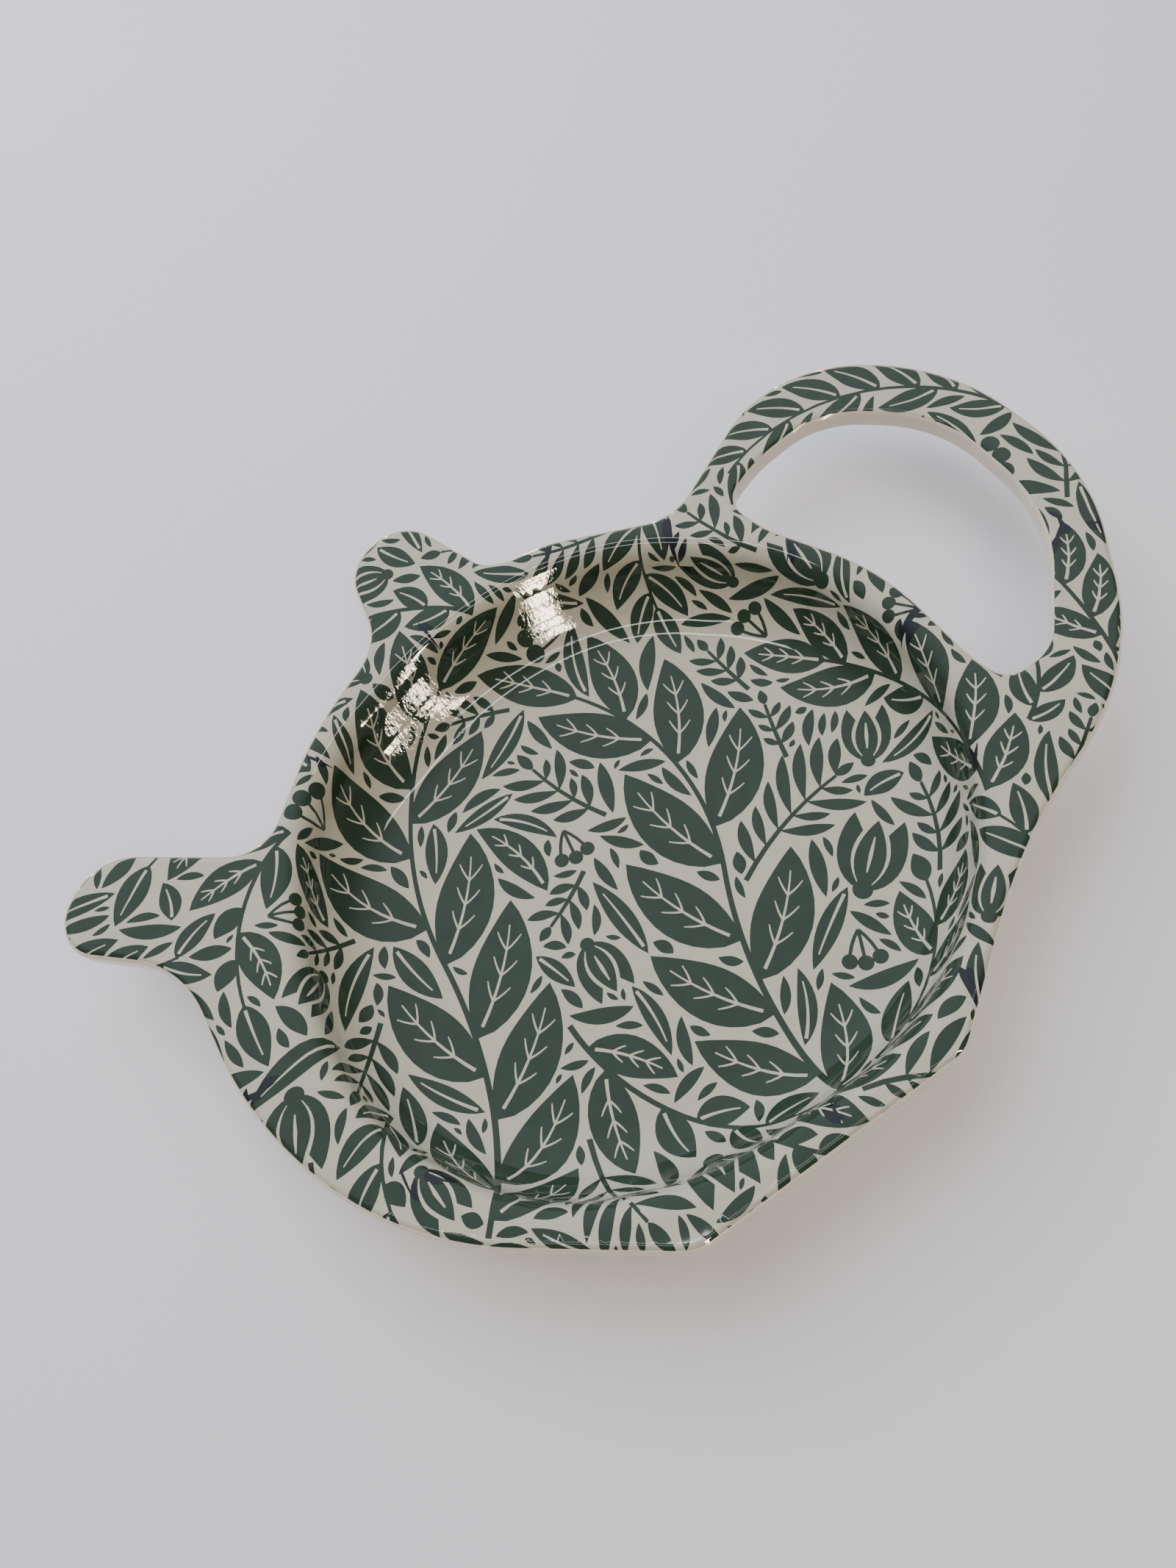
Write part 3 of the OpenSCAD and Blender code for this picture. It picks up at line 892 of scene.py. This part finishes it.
def gloss_waves(tree):
    """The waviness of the pressed gloss surface, as a bump node."""
    place = add_node(tree, "ShaderNodeTexCoord")
    stretched = add_node(tree, "ShaderNodeMapping", {
        "Vector": (place, "Object"), "Scale": (1.0, 1.0, WAVE_STRETCH)})
    waves = add_node(tree, "ShaderNodeTexNoise", {
        "Vector": (stretched, "Vector"), "Scale": 1 / (WAVE_SPACING * MM), "Detail": 3.0,
        "Roughness": 0.6})
    height = add_node(tree, "ShaderNodeSeparateXYZ", {"Vector": (place, "Object")})
    swelling = add_node(tree, "ShaderNodeMapRange", {
        "Value": (height, "Z"), "From Min": SWELLING_Z[0] * MM, "From Max": SWELLING_Z[1] * MM,
        "To Max": SWELLING_H / WAVE_H}, interpolation_type="SMOOTHSTEP")
    relief = add_node(tree, "ShaderNodeMath", {0: (waves, "Fac"), 1: (swelling, "Result")},
                      operation="ADD")
    strength = CALM
    for spot in PLEAT_SPOTS:
        away = add_node(tree, "ShaderNodeVectorMath", {
            0: (place, "Object"), 1: [v * MM for v in spot]}, operation="DISTANCE")
        near = add_node(tree, "ShaderNodeMapRange", {
            "Value": (away, "Value"), "From Min": PLEAT_REACH[0] * MM,
            "From Max": PLEAT_REACH[1] * MM})
        greater = add_node(tree, "ShaderNodeMath", {0: (near, "Result"), 1: strength},
                           operation="MAXIMUM")
        strength = (greater, "Value")
    return add_node(tree, "ShaderNodeBump", {
        "Height": (relief, "Value"), "Strength": strength, "Distance": WAVE_H * MM})


print("waves in mm:", WAVE_SPACING, "apart and", WAVE_H, "high")

# %% [markdown]
# ## Melamine, paper and ink
#
# The body is melamine-formaldehyde resin, filled with cellulose and pressed hot in a polished
# mould. To the eye it is a warm cream with a low sheen, a little cloudy from its filler. The print
# is decor paper soaked in the same resin. Bare paper is a greyer cream, and the ink sinks into
# it, so its green wanders with the paper. Under a pleat two layers of ink are nearly black, with
# a touch of blue. Paper and ink lie in resin and have no gloss of their own: all of it is in the
# coat. Real fibres are a few hundredths of a millimetre wide, too fine to show here, so the
# clouds that they make are drawn 1 to 6 mm wide. Each is a noise between two tones, because the
# outlines are in the mesh already.

# %% Melamine, paper and ink
RESIN_IOR, RESIN_ROUGHNESS = 1.55, 0.03


def pressed_material(name, light_hex, dark_hex, cloud_mm, roughness=0.5, coat=1.0, own_gloss=0.0):
    """A pressed surface whose colour wanders between two tones, under a coat of clear resin."""
    material, tree = new_material(name)
    place = add_node(tree, "ShaderNodeTexCoord")
    clouds = add_node(tree, "ShaderNodeTexNoise", {
        "Vector": (place, "Object"), "Scale": 1 / (cloud_mm * MM), "Detail": 3.0, "Roughness": 0.7})
    tone = add_node(tree, "ShaderNodeMix", {
        0: (clouds, "Fac"), 6: colour(dark_hex), 7: colour(light_hex)}, data_type="RGBA")
    waves = gloss_waves(tree)
    shader = add_node(tree, "ShaderNodeBsdfPrincipled", {
        "Base Color": (tone, 2), "Roughness": roughness, "IOR": 1.5, "Specular IOR Level": own_gloss,
        "Coat Weight": coat, "Coat Roughness": RESIN_ROUGHNESS, "Coat IOR": RESIN_IOR,
        "Coat Normal": (waves, "Normal")})
    add_node(tree, "ShaderNodeOutputMaterial", {"Surface": (shader, "BSDF")})
    return material


melamine = pressed_material("compression_moulded_melamine", "#e2d8c8", "#d6cab6", cloud_mm=3.0,
                            roughness=0.22, coat=0.6, own_gloss=0.3)
bare_paper = pressed_material("bare_decor_paper", "#cecab6", "#bdbca9", cloud_mm=6.0)
ink = pressed_material("green_ink_on_decor_paper", "#304637", "#203226", cloud_mm=3.0)
folded = pressed_material("doubled_ink_in_a_crease", "#1c252d", "#131a20", cloud_mm=1.0)
moulding.data.materials.append(melamine)
for material in (bare_paper, ink, folded):
    foil.data.materials.append(material)
print("materials so far:", len(bpy.data.materials))

# %% [markdown]
# ## The clear melamine
#
# Clear melamine, pressed and cured, is hard and glossy like lacquer. It deepens the colours a
# little and adds a sharp mirror. Glass with real refraction would bend light by less than the
# layer's tenth of a millimetre, which no eye sees, and its shadow would darken the print. So it is
# nearly see-through by its alpha, and most of the mirror is the coat on the print's own shader.

# %% The clear melamine
clear, clear_tree = new_material("clear_melamine_glaze")
clear_waves = gloss_waves(clear_tree)
clear_shader = add_node(clear_tree, "ShaderNodeBsdfPrincipled", {
    "Base Color": colour("#3a3c39"), "Roughness": 0.04, "IOR": RESIN_IOR, "Alpha": 0.05,
    "Normal": (clear_waves, "Normal")})
add_node(clear_tree, "ShaderNodeOutputMaterial", {"Surface": (clear_shader, "BSDF")})
glaze.data.materials.append(clear)
print("materials:", len(bpy.data.materials))

# %% [markdown]
# ## Table and light
#
# The dish lies on a pale, painted board in daylight. Matt paint scatters light evenly, so it shows
# little but the shadow, and its two tones hardly differ. One soft key light beyond the dish makes
# the shadow, and a wide, weak one on the near side fills it. What the gloss shows is set apart from
# them, as with reflector cards in a studio: a room that is bright beyond the dish and dark behind
# the camera, two tall windows for the bright marks on the far wall, and two strip lamps for the
# thin double line round the well. A single picture of a room could light all this, but then the
# shadow and the gloss couldn't be matched one by one.

# %% The table
TABLE_SIZE, CLOUDS_PER_METRE = 3, 6.0

bpy.ops.mesh.primitive_plane_add(size=TABLE_SIZE, location=(0, 0, 0))
table = bpy.context.object
table.name = "table"
table_paint, tree = new_material("matt_white_table")
place = add_node(tree, "ShaderNodeTexCoord")
cloud = add_node(tree, "ShaderNodeTexNoise", {
    "Vector": (place, "Object"), "Scale": CLOUDS_PER_METRE, "Detail": 2.0})
tone = add_node(tree, "ShaderNodeMix", {
    0: (cloud, "Fac"), 6: colour("#e5e8ef"), 7: colour("#eceef4")}, data_type="RGBA")
matt = add_node(tree, "ShaderNodeBsdfPrincipled", {"Base Color": (tone, 2), "Roughness": 0.85})
add_node(tree, "ShaderNodeOutputMaterial", {"Surface": (matt, "BSDF")})
table.data.materials.append(table_paint)
print("table size in m:", round(table.dimensions.x, 2))

# %% The lights
def panel(name, azimuth, elevation, distance, width, height, radiance, hex_code,
          lights_paint=True, shows_in_gloss=True):
    """A flat light that faces the dish from a direction in degrees. Its sizes are in metres."""
    light = bpy.data.lights.new(name, "AREA")
    light.shape = "RECTANGLE"
    light.size, light.size_y = width, height
    light.energy = radiance * math.pi * width * height
    light.color = colour(hex_code)[:3]
    obj = bpy.data.objects.new(name, light)
    a, e = math.radians(azimuth), math.radians(elevation)
    toward = Vector((math.cos(a) * math.cos(e), math.sin(a) * math.cos(e), math.sin(e)))
    obj.location = toward * distance
    obj.rotation_euler = toward.to_track_quat("Z", "Y").to_euler()
    obj.visible_diffuse, obj.visible_glossy = lights_paint, shows_in_gloss
    bpy.context.scene.collection.objects.link(obj)


def window(name, azimuth, elevation, width):
    """Three panes one above the other, with bars between them, that show only in the gloss."""
    distance, pane, glass_share = 1.2, 1.05 / 3, 0.86
    step = math.degrees(pane / distance)
    for k in (-1, 0, 1):
        panel(f"{name}_{k + 2}", azimuth, elevation + k * step, distance, width, pane * glass_share,
              radiance=110, hex_code="#ffefd2", lights_paint=False)


panel("soft_key", azimuth=100, elevation=50, distance=0.55, width=0.66, height=0.66,
      radiance=2.4, hex_code="#f1f3ff", shows_in_gloss=False)
panel("fill", azimuth=-80, elevation=62, distance=2.5, width=2.0, height=2.0,
      radiance=2.4, hex_code="#ffead6", shows_in_gloss=False)
window("window_left", azimuth=-94.5, elevation=25, width=0.09)
window("window_right", azimuth=-60.5, elevation=27, width=0.042)
for name, azimuth, elevation in (("lamp_far", 75, 86.5), ("lamp_near", -105, 72)):
    panel(name, azimuth, elevation, distance=1.6, width=1.4, height=0.06, radiance=12,
          hex_code="#ffffff", lights_paint=False)
print("lights:", len(bpy.data.lights))

# %% [markdown]
# ## The room
#
# The gloss also shows a soft haze, from a world that brightens towards the far side of the room.
# Lower views look past the table's edge, so what the camera sees there is a plain pale backdrop.

# %% The room
BRIGHT_SIDE = (0.198, 0.74, 0.643)  # 75 degrees round from the handle's side and 40 degrees up

world = bpy.data.worlds.new("room")
bpy.context.scene.world = world
world.use_nodes = True
world.node_tree.nodes.clear()
room = world.node_tree
place = add_node(room, "ShaderNodeTexCoord")
toward_bright = add_node(room, "ShaderNodeVectorMath", {0: (place, "Generated"), 1: BRIGHT_SIDE},
                         operation="DOT_PRODUCT")
rise = add_node(room, "ShaderNodeMapRange", {
    "Value": (toward_bright, "Value"), "From Min": 0.3, "From Max": 0.95},
    interpolation_type="SMOOTHSTEP")
tone = add_node(room, "ShaderNodeMix", {
    0: (rise, "Result"), 6: colour("#6d6862"), 7: colour("#dfe6ee")}, data_type="RGBA")
glow = add_node(room, "ShaderNodeBackground", {"Color": (tone, 2), "Strength": 1.0})
backdrop = add_node(room, "ShaderNodeBackground", {"Color": colour("#dadbdd"), "Strength": 1.0})
path = add_node(room, "ShaderNodeLightPath")
seen = add_node(room, "ShaderNodeMixShader", {
    0: (path, "Is Camera Ray"), 1: (glow, "Background"), 2: (backdrop, "Background")})
add_node(room, "ShaderNodeOutputWorld", {"Surface": (seen, "Shader")})
print("room nodes:", len(room.nodes))
